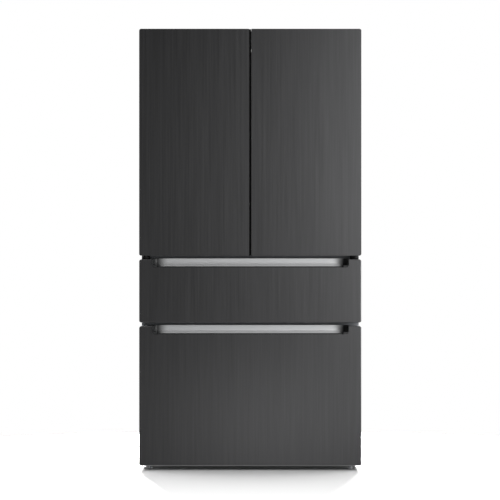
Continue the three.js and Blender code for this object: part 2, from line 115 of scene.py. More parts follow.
def glow_towards(axis, start, end, first, last):
    """A strength that runs smoothly from first to last as a direction's axis goes from start to end."""
    return node(tree, "ShaderNodeMapRange", {
        "Value": sides.outputs[axis], "From Min": start, "From Max": end, "To Min": first, "To Max": last},
        interpolation_type="SMOOTHSTEP").outputs[0]


def worked(operation, one, other):
    return node(tree, "ShaderNodeMath", {0: one, 1: other}, operation=operation).outputs[0]


behind = glow_towards("Y", -0.3, 0.3, 0.0, 1.9)
overhead = glow_towards("Z", 0.45, 0.95, 0.0, 1.6)
facing = glow_towards("Y", -0.5, 0.2, 1.0, 0.0)
low_down = glow_towards("Z", -0.22, 0.12, 0.25, 0.0)
near_floor = worked("MULTIPLY", facing, low_down)
steep_down = glow_towards("Z", -0.8, -0.35, 0.5, 0.0)
below = worked("ADD", behind, steep_down)
above = worked("ADD", below, overhead)
glow = worked("ADD", above, near_floor)
studio_light = node(tree, "ShaderNodeBackground", {"Strength": glow})
white_sweep = node(tree, "ShaderNodeBackground", {"Color": (1, 1, 1, 1), "Strength": 1.0})
seen = node(tree, "ShaderNodeLightPath").outputs["Is Camera Ray"]
mixed = node(tree, "ShaderNodeMixShader", {0: seen, 1: studio_light.outputs[0], 2: white_sweep.outputs[0]})
node(tree, "ShaderNodeOutputWorld", {"Surface": mixed.outputs[0]})

front_lamps = [
    softbox("tall_softbox", (1.75, -3.5, 1.42), (0.1, -0.37, 1.0), 1.1, 2.3, 30.5),
    softbox("side_softbox", (2.6, -2.6, 1.05), (0.1, -0.37, 0.9), 0.8, 1.8, 72),
    softbox("floor_softbox", (0.15, -2.6, 0.03), (0.1, -0.37, 0.1), 0.8, 0.5, 1.0)]
floor_lamps = [
    softbox("overhead_softbox", (0, 0.115, 2.4), (0, 0.116, 0), 3.0, 0.97, 230),
    softbox("front_fill_softbox", (0, -5, 2.0), (0, -0.5, 0), 3.0, 1.0, 680),
    softbox("left_sweep_softbox", (-0.62, 2.5, 0.8), (-0.6, -0.3, 0), 0.5, 0.3, 650),
    softbox("right_sweep_softbox", (0.62, 2.5, 0.8), (0.6, -0.3, 0), 0.5, 0.3, 650)]


def srgb(code):
    """A hex colour as linear values, opaque."""
    parts = [int(code[i:i + 2], 16) / 255 for i in (1, 3, 5)]
    linear = [c / 12.92 if c <= 0.04045 else ((c + 0.055) / 1.055) ** 2.4 for c in parts]
    return (*linear, 1.0)


def new_material(name, **values):
    """A material with one Principled shader; its plain values are set on the shader's sockets."""
    material = bpy.data.materials.new(name)
    material.use_nodes = True
    tree = material.node_tree
    tree.nodes.clear()
    shader = node(tree, "ShaderNodeBsdfPrincipled")
    for socket, value in values.items():
        shader.inputs[socket.replace("_", " ")].default_value = value
    node(tree, "ShaderNodeOutputMaterial", {"Surface": shader.outputs[0]})
    return material, tree, shader


def noise(tree, scale, detail):
    """A noise as a grey value, at its scale to the metre."""
    place = node(tree, "ShaderNodeTexCoord").outputs["Object"]
    return node(tree, "ShaderNodeTexNoise", {
        "Vector": place, "Scale": scale, "Detail": detail}).outputs["Fac"]


def mixed_colour(tree, grey, one, other):
    """Mixes two hex colours by a grey value."""
    return node(tree, "ShaderNodeMix", {
        "Factor": grey, "A": srgb(one), "B": srgb(other)}, data_type="RGBA").outputs["Result"]


def tint(tree, shader, grey, one, other):
    tree.links.new(mixed_colour(tree, grey, one, other), shader.inputs["Base Color"])


def roughen(tree, shader, grey, low, high, start=0.0, end=1.0):
    """Varies the roughness from low to high as a grey value goes from start to end."""
    spread = node(tree, "ShaderNodeMapRange", {
        "Value": grey, "From Min": start, "From Max": end, "To Min": low, "To Max": high})
    tree.links.new(spread.outputs[0], shader.inputs["Roughness"])


def emboss(tree, shader, grey, strength, depth):
    """Raises the surface by a grey value."""
    bump = node(tree, "ShaderNodeBump", {"Strength": strength, "Distance": depth, "Height": grey})
    tree.links.new(bump.outputs[0], shader.inputs["Normal"])


FLOOR_RADIUS = 2.05
bpy.ops.mesh.primitive_circle_add(vertices=96, radius=FLOOR_RADIUS, fill_type="NGON", location=(0, 0, 0))
floor = bpy.context.object
floor.name = "floor"
sweep_paper, tree, shader = new_material("sweep_paper_matt", Base_Color=srgb("#7c7c7c"), Roughness=0.9)
floor.data.materials.append(sweep_paper)
floor.visible_glossy = False
# The front lamps are flagged off the floor, and the floor lamps light nothing else, so the
# shadow is a soft band straight in front of the base. The floor isn't seen in reflections.
flagged = bpy.data.collections.new("flagged_off_front_lamps")
flagged.objects.link(floor)
flagged.collection_objects[0].light_linking.link_state = "EXCLUDE"
for lamp in front_lamps:
    lamp.light_linking.receiver_collection = flagged
floor_only = bpy.data.collections.new("floor_only")
floor_only.objects.link(floor)
for lamp in floor_lamps:
    lamp.light_linking.receiver_collection = floor_only


# ---------------------------------------------------------------------------------------------
# Door and drawer skins: one sheet of dark stainless steel each, brushed from top to bottom and
# folded into a pan with rolled front edges and small drawn corners.

def block(name, low, high):
    """A cube primitive at its size and place, alone in the selection."""
    bpy.ops.object.select_all(action="DESELECT")
    low, high = Vector(low), Vector(high)
    bpy.ops.mesh.primitive_cube_add(size=1, location=(low + high) / 2)
    made = bpy.context.object
    made.scale = high - low
    bpy.ops.object.transform_apply()
    made.name = made.data.name = name
    return made


def pick(piece, kind, test):
    """Selects the faces or edges that pass the test, in edit mode. A face is judged by its
    centre and normal, and an edge by its middle and direction."""
    if bpy.context.mode != "EDIT_MESH":
        bpy.context.view_layer.objects.active = piece
        bpy.ops.object.mode_set(mode="EDIT")
    bpy.ops.mesh.select_mode(type=kind)
    bpy.ops.mesh.select_all(action="DESELECT")
    mesh = bmesh.from_edit_mesh(piece.data)
    if kind == "FACE":
        for face in mesh.faces:
            face.select_set(bool(test(face.calc_center_median(), face.normal)))
    else:
        for edge in mesh.edges:
            a, b = (v.co for v in edge.verts)
            edge.select_set(bool(test((a + b) / 2, (b - a).normalized())))
    mesh.select_flush_mode()
    bmesh.update_edit_mesh(piece.data)


def object_mode():
    if bpy.context.mode != "OBJECT":
        bpy.ops.object.mode_set(mode="OBJECT")


def round_edges(piece, radius, segments, test):
    """Rounds the edges that pass the test."""
    pick(piece, "EDGE", test)
    bpy.ops.mesh.bevel(offset=radius, segments=segments, affect="EDGES")
    object_mode()


def select_alone(piece):
    object_mode()
    bpy.ops.object.select_all(action="DESELECT")
    piece.select_set(True)
    bpy.context.view_layer.objects.active = piece


def modify(piece, kind, **settings):
    """Adds a modifier with its settings and applies it."""
    select_alone(piece)
    modifier = piece.modifiers.new(kind.lower(), kind)
    for name, value in settings.items():
        setattr(modifier, name, value)
    bpy.ops.object.modifier_apply(modifier=modifier.name)


def carve(piece, cutter):
    """Cuts the cutter out of the piece and removes the cutter."""
    modify(piece, "BOOLEAN", operation="DIFFERENCE", solver="EXACT", object=cutter)
    bpy.data.objects.remove(cutter)


def soften(piece, radius, segments, angle=30, smooth_angle=32):
    """Rounds every edge sharper than an angle and shades the piece smooth between its sharp edges."""
    modify(piece, "BEVEL", width=radius, segments=segments, limit_method="ANGLE",
           angle_limit=math.radians(angle))
    smooth(piece, smooth_angle)


def smooth(piece, angle=32):
    select_alone(piece)
    bpy.ops.object.shade_smooth_by_angle(angle=math.radians(angle))
    modify(piece, "WEIGHTED_NORMAL", keep_sharp=True, weight=100)


def fit(piece, body, slot, material, *nodes):
    """Gives a finished piece its material and its body, and hides the CAD nodes it stands for. The slot is
    not used.
    """
    object_mode()
    piece.data.materials.clear()
    piece.data.materials.append(material)
    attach(piece, body)
    if nodes:
        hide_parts(*nodes)


# Stainless steel, dark tinted and brushed: a soft stretched sheen, with hairlines from top to
# bottom. Real hairlines are 0.1 mm; these are drawn about 1.5 mm wide so that they show.
HAIRLINE = 1.5 * MM
HAIRLINE_LENGTH = 0.5
brushed_steel, tree, shader = new_material(
    "dark_stainless_steel_brushed", Metallic=1.0, Roughness=0.32, Anisotropic=0.5, Anisotropic_Rotation=0.0)
place = node(tree, "ShaderNodeTexCoord").outputs["Object"]
stretched = node(tree, "ShaderNodeMapping", {
    "Vector": place, "Scale": (1 / HAIRLINE, 1 / HAIRLINE, 1 / HAIRLINE_LENGTH)})
hairlines = node(tree, "ShaderNodeTexNoise", {
    "Vector": stretched.outputs[0], "Scale": 1.0, "Detail": 5.0, "Roughness": 0.65})
STREAKS_TO_THE_METRE = (110, 110, 3.5)
broad = node(tree, "ShaderNodeMapping", {"Vector": place, "Scale": STREAKS_TO_THE_METRE})
streaks = node(tree, "ShaderNodeTexNoise", {
    "Vector": broad.outputs[0], "Scale": 1.0, "Detail": 3.0, "Roughness": 0.6})
both = node(tree, "ShaderNodeMix", {
    "Factor": 0.45, "A": hairlines.outputs["Fac"], "B": streaks.outputs["Fac"]})
tint(tree, shader, both.outputs["Result"], "#555556", "#737374")
roughen(tree, shader, hairlines.outputs["Fac"], 0.29, 0.35, 0.3, 0.7)
emboss(tree, shader, hairlines.outputs["Fac"], 0.12, 0.05 * MM)
upright = node(tree, "ShaderNodeTangent", direction_type="RADIAL", axis="Z")
tree.links.new(upright.outputs[0], shader.inputs["Tangent"])

SHEET = 1.2 * MM
DRAWN_CORNER = 8 * MM
SLIT_CORNER = 2.5 * MM
ROLLED_EDGE = 2.6 * MM
SLIT_ROLL = 0.3


def steel_pan(name, low, high):
    """A pan with rounded corners and rolled front edges, open behind. The slit between the
    doors has tighter corners and a tighter roll."""
    pan = block(name, low, high)
    round_edges(pan, DRAWN_CORNER, 7, lambda middle, along: abs(along.y) > 0.9 and abs(middle.x) > 0.1)
    round_edges(pan, SLIT_CORNER, 4, lambda middle, along: abs(along.y) > 0.9 and abs(middle.x) < 0.1)
    roll = pan.data.attributes.new("bevel_weight_edge", "FLOAT", "EDGE")
    for edge in pan.data.edges:
        ends = [pan.data.vertices[index].co for index in edge.vertices]
        if all(end.y < low.y + 1e-5 for end in ends):
            roll.data[edge.index].value = SLIT_ROLL if all(abs(end.x) < 0.01 for end in ends) else 1.0
    modify(pan, "BEVEL", width=ROLLED_EDGE, segments=5, limit_method="WEIGHT")
    pick(pan, "FACE", lambda middle, normal: normal.y > 0.9)
    bpy.ops.mesh.delete(type="FACE")
    modify(pan, "SOLIDIFY", thickness=SHEET, offset=-1)
    return pan


HANDS = (("left", -1), ("right", 1))
REBATE_WIDTH = 47 * MM
REBATE_HEIGHT = 23 * MM
REBATE_START = 18 * MM
for hand, side in HANDS:
    node_name = f"{hand}_door_skin"
    low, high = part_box(node_name)
    pan = steel_pan(f"{hand}_door_steel", low, high)
    outer = high.x if side > 0 else low.x
    ends = sorted((outer - side * REBATE_WIDTH, outer + side * 5 * MM))
    carve(pan, block("cutter", (ends[0], cad_low.y + REBATE_START, high.z - REBATE_HEIGHT),
                     (ends[1], high.y + 30 * MM, high.z + 5 * MM)))
    smooth(pan)
    fit(pan, f"{hand}_door", "steel_fronts", brushed_steel, node_name)

GRIP_HALF = 398 * MM
NOTCH_DEPTH = 32.4 * MM
GRIP_SPAN = 51 * MM
drawer_tops = {}
for drawer in ("middle", "freezer"):
    node_name = f"{drawer}_front_skin"
    low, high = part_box(node_name)
    drawer_tops[drawer] = high.z
    pan = steel_pan(f"{drawer}_drawer_steel", low, high)
    notch = block("cutter", (-GRIP_HALF, low.y - 0.01, high.z - NOTCH_DEPTH),
                  (GRIP_HALF, low.y + GRIP_SPAN, high.z + 0.01))
    round_edges(notch, 11 * MM, 7, lambda middle, along: abs(along.y) > 0.9 and middle.z < high.z)
    carve(pan, notch)
    smooth(pan)
    fit(pan, f"{drawer}_drawer", "steel_fronts", brushed_steel, node_name)


# ---------------------------------------------------------------------------------------------
# Finger grips: extruded aluminium channels, blasted and anodised, let into the notch of each
# drawer front between black moulded end caps, over a thin black strip. Painted shade: the
# channels darken towards the caps, the lip is greyer than the channel, and the strip stands in
# for the shadow under the lip.

# Painted shade on the grips: from these distances off the middle, the colour darkens towards the end caps.
END_SHADE_START, END_SHADE_END = 0.330, 0.383


def painted_end_shade(tree, place, shade):
    """Painted shade: the colour darkens to near black over the last 50 mm to meet the black end caps softly,
    where the ends of the recess lie in shade.
    """
    across = node(tree, "ShaderNodeSeparateXYZ", {"Vector": place})
    from_middle = node(tree, "ShaderNodeMath", {0: across.outputs["X"]}, operation="ABSOLUTE")
    end_shade_ramp = node(tree, "ShaderNodeMapRange", {
        "Value": from_middle.outputs[0], "From Min": END_SHADE_START, "From Max": END_SHADE_END,
        "To Min": 0.0, "To Max": 1.0},
        interpolation_type="SMOOTHSTEP")
    end_shaded = node(tree, "ShaderNodeMix", {
        "Factor": end_shade_ramp.outputs[0], "A": shade, "B": srgb("#1c1c1d")}, data_type="RGBA")
    return end_shaded.outputs["Result"]


satin_aluminium, tree, shader = new_material(
    "aluminium_blasted_anodised", Metallic=0.3, Roughness=0.5, Specular_IOR_Level=0.5)
place = node(tree, "ShaderNodeTexCoord").outputs["Object"]
DIE_LINES_TO_THE_METRE = (3, 900, 900)
drawn = node(tree, "ShaderNodeMapping", {"Vector": place, "Scale": DIE_LINES_TO_THE_METRE})
die_lines = node(tree, "ShaderNodeTexNoise", {"Vector": drawn.outputs[0], "Scale": 1.0, "Detail": 4.0})
shade = mixed_colour(tree, die_lines.outputs["Fac"], "#e2e3e4", "#f2f3f4")
tree.links.new(painted_end_shade(tree, place, shade), shader.inputs["Base Color"])
blasted = noise(tree, 2200, 2)
roughen(tree, shader, blasted, 0.46, 0.56, 0.3, 0.7)
emboss(tree, shader, blasted, 0.15, 0.05 * MM)

# Painted shade: the lip alone is given a greyer colour than the blasted channel, so that the unshaded lip
# matches the channel shaded in the recess.
lip_aluminium, tree, shader = new_material(
    "aluminium_anodised_lip_painted_shade", Metallic=0.5, Roughness=0.42)
place = node(tree, "ShaderNodeTexCoord").outputs["Object"]
drawn = node(tree, "ShaderNodeMapping", {"Vector": place, "Scale": DIE_LINES_TO_THE_METRE})
lip_die_lines = node(tree, "ShaderNodeTexNoise", {"Vector": drawn.outputs[0], "Scale": 1.0, "Detail": 4.0})
shade = mixed_colour(tree, lip_die_lines.outputs["Fac"], "#a4a5a6", "#b0b1b2")
tree.links.new(painted_end_shade(tree, place, shade), shader.inputs["Base Color"])
roughen(tree, shader, lip_die_lines.outputs["Fac"], 0.36, 0.5)

black_abs, tree, shader = new_material("abs_moulded_black_grained", Roughness=0.5, IOR=1.54)
etched_grain = noise(tree, 900, 3)
tint(tree, shader, etched_grain, "#18191a", "#242526")
emboss(tree, shader, etched_grain, 0.3, 0.1 * MM)

GRIP_WALL = 2 * MM
CAP_SWEEP = 22 * MM
LIP_HALF = 362 * MM
SCOOP_HALF = 0.1
SCOOP_DEPTH = 24 * MM


def grip_channel(name, top):
    """The channel starts as its top edge along X, which is extruded down its profile."""
    front = cad_low.y
    end = GRIP_HALF - 0.5 * MM
    back, floor_z, crest = front + 48 * MM, top - 78 * MM, top + 3 * MM
    hem, lip_back = back + 8 * MM, front + 7 * MM
    lip_top, lip_low = top - 18 * MM, top - 27 * MM
    bpy.ops.mesh.primitive_plane_add(size=2 * end, location=(0, hem - end, crest))
    channel = bpy.context.object
    channel.name = channel.data.name = name
    bpy.ops.object.transform_apply()
    pick(channel, "EDGE", lambda middle, along: abs(along.x) > 0.9 and middle.y < back)
    bpy.ops.mesh.delete(type="VERT")
    bpy.ops.mesh.select_all(action="SELECT")
    wall = [(back + 1.8 * MM * math.sin(math.pi * step / 6) - 1.8 * MM, crest - 26 * MM * step / 6)
            for step in range(7)]
    profile = [(back - 1 * MM, crest), *wall[1:], (back, floor_z), (lip_back, floor_z),
               (lip_back, lip_top), (front + 2 * MM, lip_top), (front + 1.4 * MM, lip_top - 0.8 * MM),
               (front + 1.4 * MM, lip_low + 0.8 * MM), (front + 2 * MM, lip_low), (front + 6 * MM, lip_low)]
    at = (hem, crest)
    for y, z in profile:
        bpy.ops.mesh.extrude_region_move(TRANSFORM_OT_translate={"value": (0, y - at[0], z - at[1])})
        at = (y, z)
    bpy.ops.mesh.select_all(action="SELECT")
    bpy.ops.mesh.normals_make_consistent(inside=False)
    modify(channel, "SOLIDIFY", thickness=GRIP_WALL, offset=0)
    for side in (-1, 1):
        ends = sorted((side * LIP_HALF, side * (end + 0.01)))
        carve(channel, block("cutter", (ends[0], front - 0.01, lip_low - 0.01),
                             (ends[1], front + 12 * MM, lip_top + 5 * MM)))
    soften(channel, 0.5 * MM, 2, angle=50, smooth_angle=40)
    return channel


for drawer, top in drawer_tops.items():
    front = cad_low.y
    channel = grip_channel(f"{drawer}_grip_channel", top)
    fit(channel, f"{drawer}_drawer", "satin_grips", satin_aluminium, f"{drawer}_grip")
    channel.data.materials.append(lip_aluminium)
    pick(channel, "FACE", lambda middle, normal: middle.y < front + 6 * MM)
    channel.active_material_index = 1
    bpy.ops.object.material_slot_assign()
    object_mode()
    for hand, side in HANDS:
        outer, inner = side * (GRIP_HALF - 0.4 * MM), side * (GRIP_HALF - CAP_SWEEP)
        ends = sorted((outer, inner))
        cap = block(f"{drawer}_grip_cap_{hand}", (ends[0], front + 1.6 * MM, top - NOTCH_DEPTH + 0.4 * MM),
                    (ends[1], front + 46 * MM, top + 2.6 * MM))
        bpy.ops.mesh.primitive_cylinder_add(
            vertices=96, radius=1, depth=2 * SCOOP_HALF, location=(inner, front + 1 * MM, top))
        scoop = bpy.context.object
        scoop.scale = (CAP_SWEEP - 2 * MM, 43 * MM, 1)
        bpy.ops.object.transform_apply()
        pick(scoop, "FACE", lambda middle, normal: normal.z < -0.9)
        bpy.ops.transform.translate(value=(0, 0, SCOOP_HALF - SCOOP_DEPTH))
        object_mode()
        carve(cap, scoop)
        corner = abs(outer)
        round_edges(cap, 10 * MM, 6, lambda middle, along: (
            abs(along.y) > 0.9 and abs(middle.x) > corner - 1 * MM and middle.z < top))
        soften(cap, 0.5 * MM, 2, angle=50, smooth_angle=40)
        fit(cap, f"{drawer}_drawer", "black_plastic", black_abs)
    # Painted shadow: a thin black strip fills the gap under the lip, where there is only shade.
    shadow_strip_half = GRIP_HALF - 30 * MM
    seal = block(f"{drawer}_grip_shadow_strip", (-shadow_strip_half, front + 1.8 * MM, top - NOTCH_DEPTH - 0.8 * MM),
                 (shadow_strip_half, front + 5.2 * MM, top - 27.4 * MM))
    soften(seal, 0.8 * MM, 2)
    fit(seal, f"{drawer}_drawer", "black_plastic", black_abs)


# ---------------------------------------------------------------------------------------------
# Cabinet sheet and cross rails: cold rolled steel, folded and powder coated in grey with a fine
# orange-peel texture. The rails close the front between the compartments.

powder_coat, tree, shader = new_material("steel_powder_coated_grey", Roughness=0.48, Metallic=0.0)
orange_peel = noise(tree, 420, 3)
tint(tree, shader, noise(tree, 3, 2), "#6a6c6f", "#727477")
emboss(tree, shader, orange_peel, 0.25, 0.15 * MM)
roughen(tree, shader, orange_peel, 0.42, 0.54, 0.3, 0.7)


def dress(node_name, radius, body, slot, material, segments=2, dissolve=True):
    """Fits a merged copy of a CAD piece, with its edges eased as a press or a mould leaves them.
    A flat face with a large hole can fill in when it is dissolved, so such a piece keeps its
    triangles."""
    made = bpy.data.objects.new(f"{node_name}_finished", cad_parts[node_name].data.copy())
    bpy.context.scene.collection.objects.link(made)
    made.data.name = made.name
    select_alone(made)
    bpy.ops.object.mode_set(mode="EDIT")
    bpy.ops.mesh.select_all(action="SELECT")
    bpy.ops.mesh.remove_doubles(threshold=0.01 * MM)
    if dissolve:
        bpy.ops.mesh.dissolve_limited(angle_limit=math.radians(1))
    bpy.ops.object.mode_set(mode="OBJECT")
    soften(made, radius, segments)
    fit(made, body, slot, material, node_name)


dress("cabinet_wrapper", 0.8 * MM, "cabinet", "cabinet_paint", powder_coat)
for node_name in ("upper_crossrail", "lower_crossrail"):
    dress(node_name, 0.6 * MM, "cabinet", "cabinet_paint", powder_coat)


# ---------------------------------------------------------------------------------------------
# Rear panel, base frame and machine cover: galvanised sheet steel, pressed and screwed on. The
# zinc shows faint crystals, and the cut edges are eased.

SPANGLE = 9 * MM
galvanised, tree, shader = new_material("steel_galvanised_spangled", Metallic=0.9, Roughness=0.45)
place = node(tree, "ShaderNodeTexCoord").outputs["Object"]
crystals = node(tree, "ShaderNodeTexVoronoi", {"Vector": place, "Scale": 1 / SPANGLE, "Randomness": 1.0})
crystal_shade = node(tree, "ShaderNodeSeparateColor", {"Color": crystals.outputs["Color"]})
shades = node(tree, "ShaderNodeMix", {
    "Factor": 0.35, "A": crystal_shade.outputs[0], "B": noise(tree, 14, 4)})
tint(tree, shader, shades.outputs["Result"], "#a9acae", "#c3c6c8")
roughen(tree, shader, shades.outputs["Result"], 0.38, 0.56)

for node_name in ("back_panel", "machine_cover"):
    dress(node_name, 0.5 * MM, "cabinet", "zinc_steel", galvanised)

# The base frame is chromated after plating, which leaves it dull and grey.
dull_zinc, tree, shader = new_material("steel_zinc_chromated_dull", Metallic=0.1, Roughness=0.75)
tint(tree, shader, noise(tree, 25, 4), "#d2d4d5", "#dee0e1")
dress("base_frame", 0.5 * MM, "cabinet", "zinc_steel", dull_zinc)


def turned(name, centre, axis, profile, sides=32):
    """A round piece, built up along an axis through (distance along, radius) steps."""
    turns = {"x": (0, math.pi / 2, 0), "y": (-math.pi / 2, 0, 0), "z": (0, 0, 0)}
    along = Vector((axis == "x", axis == "y", axis == "z"))
    at, radius = profile[0]
    bpy.ops.mesh.primitive_circle_add(
        vertices=sides, radius=radius, fill_type="NGON", location=Vector(centre) + along * at,
        rotation=turns[axis])
    made = bpy.context.object
    made.name = made.data.name = name
    bpy.ops.object.transform_apply()
    bpy.ops.object.mode_set(mode="EDIT")
    bpy.ops.mesh.select_mode(type="FACE")
    bpy.ops.mesh.select_all(action="SELECT")
    for next_at, next_radius in profile[1:]:
        bpy.ops.mesh.extrude_region_move(TRANSFORM_OT_translate={"value": along * (next_at - at)})
        grow = next_radius / radius
        bpy.ops.transform.resize(
            value=[1 if part else grow for part in along], center_override=Vector(centre) + along * next_at)
        at, radius = next_at, next_radius
    bpy.ops.mesh.select_all(action="SELECT")
    bpy.ops.mesh.normals_make_consistent(inside=False)
    smooth(made, 35)
    return made


def join_all(name, pieces):
    """Makes one piece of several."""
    object_mode()
    bpy.ops.object.select_all(action="DESELECT")
    for piece in pieces:
        piece.select_set(True)
    bpy.context.view_layer.objects.active = pieces[0]
    if len(pieces) > 1:
        bpy.ops.object.join()
    pieces[0].name = pieces[0].data.name = name
    return pieces[0]


def screw_heads(name, places, axis, out, radius=4 * MM):
    """Pan-head screws with a round recess pressed in, at each of the places."""
    heads = []
    for spot in places:
        profile = [(0, radius), (out * 1.0 * MM, radius), (out * 1.9 * MM, radius * 0.8),
                   (out * 2.3 * MM, radius * 0.45), (out * 1.5 * MM, radius * 0.4)]
        heads.append(turned("screw", spot, axis, profile, 16))
    return join_all(name, heads)


back_low, back_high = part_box("back_panel")
cover_low, cover_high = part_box("machine_cover")
BACK_SHEET_FACE = back_low.y + 1.5 * MM
PANEL_SCREW_X = 0.426
spots = [(x, BACK_SHEET_FACE, z) for x in (-PANEL_SCREW_X, -0.2, 0.2, PANEL_SCREW_X)
         for z in (back_low.z + 30 * MM, back_high.z - 20 * MM)]
spots += [(side * PANEL_SCREW_X, BACK_SHEET_FACE, z) for side in (-1, 1) for z in (0.6, 0.95, 1.3)]
fit(screw_heads("back_panel_screws", spots, "y", 1), "cabinet", "zinc_steel", galvanised)
COVER_SCREW_X = 0.424
spots = [(x, cover_high.y - 2.4 * MM, z) for x in (-COVER_SCREW_X, 0.0, COVER_SCREW_X)
         for z in (cover_low.z + 20 * MM, cover_high.z - 16 * MM)]
fit(screw_heads("machine_cover_screws", spots, "y", 1), "cabinet", "zinc_steel", galvanised)


# ---------------------------------------------------------------------------------------------
# Liners, evaporator cover, and the inner panels of doors and drawers: white high-impact
# polystyrene, vacuum formed, so that every corner is drawn round and the sheet has a soft sheen.

white_polystyrene, tree, shader = new_material(
    "polystyrene_white_vacuum_formed", Roughness=0.34, IOR=1.55, Subsurface_Weight=0.04)
shader.inputs["Subsurface Radius"].default_value = (0.004, 0.004, 0.004)
draw_marks = noise(tree, 160, 3)
tint(tree, shader, noise(tree, 5, 2), "#e4e7e9", "#eff1f2")
roughen(tree, shader, draw_marks, 0.28, 0.42)
emboss(tree, shader, draw_marks, 0.12, 0.2 * MM)

LINER_RADIUS = 2.2 * MM
for node_name in ("fridge_liner", "middle_liner", "freezer_liner"):
    dress(node_name, LINER_RADIUS, "cabinet", "liner_plastic", white_polystyrene,
          dissolve=node_name != "middle_liner")
dress("evaporator_cover", 1 * MM, "cabinet", "liner_plastic", white_polystyrene)
for hand in ("left", "right"):
    dress(f"{hand}_door_inner", 2 * MM, f"{hand}_door", "liner_plastic", white_polystyrene)
for drawer in ("middle", "freezer"):
    dress(f"{drawer}_inner_panel", 2 * MM, f"{drawer}_drawer", "liner_plastic", white_polystyrene,
          dissolve=drawer != "middle")


# ---------------------------------------------------------------------------------------------
# Cold air duct and lamps: a flat white moulding clipped to the back wall of the fridge, with a
# row of outlets above each shelf, and a frosted lamp lens let into the ceiling.

FRIDGE_BACK, FRIDGE_CEILING = 0.290, 1.715
DUCT_FACE = FRIDGE_BACK - 8.5 * MM
DUCT_HALF = 85 * MM
OUTLET_LEVELS = (1.235, 1.43, 1.625)
OUTLET_STEP = 28 * MM
duct = block("air_duct", (-DUCT_HALF, DUCT_FACE, 1.15), (DUCT_HALF, FRIDGE_BACK - 0.3 * MM, 1.69))
round_edges(duct, 14 * MM, 6, lambda middle, along: abs(along.y) > 0.9)
for level in OUTLET_LEVELS:
    for column in range(-2, 3):
        centre = Vector((column * OUTLET_STEP, DUCT_FACE, level))
        carve(duct, block("cutter", centre - Vector((10 * MM, 3 * MM, 3 * MM)),
                          centre + Vector((10 * MM, 4 * MM, 3 * MM))))
soften(duct, 1 * MM, 2)
fit(duct, "cabinet", "liner_plastic", white_polystyrene)

frosted_lens, tree, shader = new_material(
    "polycarbonate_frosted_lens", Roughness=0.55, IOR=1.58, Transmission_Weight=0.35,
    Emission_Color=srgb("#ffffff"), Emission_Strength=0.25)
place = node(tree, "ShaderNodeTexCoord").outputs["Object"]
prisms = node(tree, "ShaderNodeTexWave", {"Vector": place, "Scale": 60.0}, bands_direction="X")
tint(tree, shader, prisms.outputs["Fac"], "#f2f5f7", "#ffffff")
emboss(tree, shader, prisms.outputs["Fac"], 0.3, 0.3 * MM)
LENS_HALF = 170 * MM
lens = block("ceiling_lamp_lens", (-LENS_HALF, -0.12, FRIDGE_CEILING - 5.5 * MM),
             (LENS_HALF, -0.05, FRIDGE_CEILING - 0.2 * MM))
round_edges(lens, 10 * MM, 5, lambda middle, along: abs(along.z) > 0.9)
soften(lens, 1.5 * MM, 3)
fit(lens, "cabinet", "liner_plastic", frosted_lens)


# ---------------------------------------------------------------------------------------------
# Door and drawer gaskets: grey flexible vinyl, extruded with a bellows fold and a pocket for
# the magnetic strip, welded at the corners and pushed into the inner panel.

flexible_vinyl, tree, shader = new_material("vinyl_flexible_extruded_grey", Roughness=0.6, IOR=1.5)
dust = noise(tree, 240, 4)
tint(tree, shader, dust, "#3a3b3d", "#4a4b4d")
emboss(tree, shader, dust, 0.2, 0.1 * MM)


def swept_frame(name, low, high, corner, profile):
    """A closed frame of one section: a rounded rectangle in X and Z is extruded through steps of
    (distance in from the outside, Y) and back to the first."""
    width, height = high.x - low.x, high.z - low.z
    middle = (low + high) / 2
    inset, y = profile[0]
    bpy.ops.mesh.primitive_plane_add(size=1, location=(middle.x, y, middle.z), rotation=(math.pi / 2, 0, 0))
    made = bpy.context.object
    made.name = made.data.name = name
    made.scale = (width - 2 * inset, height - 2 * inset, 1)
    bpy.ops.object.transform_apply()
    bpy.ops.object.mode_set(mode="EDIT")
    bpy.ops.mesh.select_all(action="SELECT")
    bpy.ops.mesh.bevel(offset=corner, segments=6, affect="VERTICES")
    bpy.ops.mesh.select_all(action="SELECT")
    bpy.ops.mesh.delete(type="ONLY_FACE")
    bpy.ops.mesh.select_mode(type="EDGE")
    bpy.ops.mesh.select_all(action="SELECT")
    for next_inset, next_y in profile[1:] + profile[:1]:
        bpy.ops.mesh.extrude_region_move(TRANSFORM_OT_translate={"value": (0, next_y - y, 0)})
        bpy.ops.transform.resize(
            value=((width - 2 * next_inset) / (width - 2 * inset), 1,
                   (height - 2 * next_inset) / (height - 2 * inset)),
            center_override=(middle.x, next_y, middle.z))
        inset, y = next_inset, next_y
    bpy.ops.mesh.select_all(action="SELECT")
    bpy.ops.mesh.remove_doubles(threshold=0.01 * MM)
    bpy.ops.mesh.normals_make_consistent(inside=False)
    smooth(made, 40)
    return made


for name, body in (("left_door", "left_door"), ("right_door", "right_door"),
                   ("middle", "middle_drawer"), ("freezer", "freezer_drawer")):
    low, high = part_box(f"{name}_gasket")
    front, rear = low.y, high.y
    section = [(2, front), (0.2, front + 2 * MM), (0.2, front + 3.6 * MM), (3, front + 5.2 * MM),
               (0.5, front + 6.8 * MM), (0.5, rear - 0.8 * MM), (1.4, rear), (14.6, rear),
               (15.5, rear - 0.8 * MM), (15.5, front + 6.8 * MM), (13, front + 5.2 * MM),
               (15.8, front + 3.6 * MM), (15.8, front + 2 * MM), (14, front)]
    seal = swept_frame(f"{name}_seal", low, high, 9 * MM, [(inset * MM, y) for inset, y in section])
    fit(seal, body, "seal_rubber", flexible_vinyl, f"{name}_gasket")


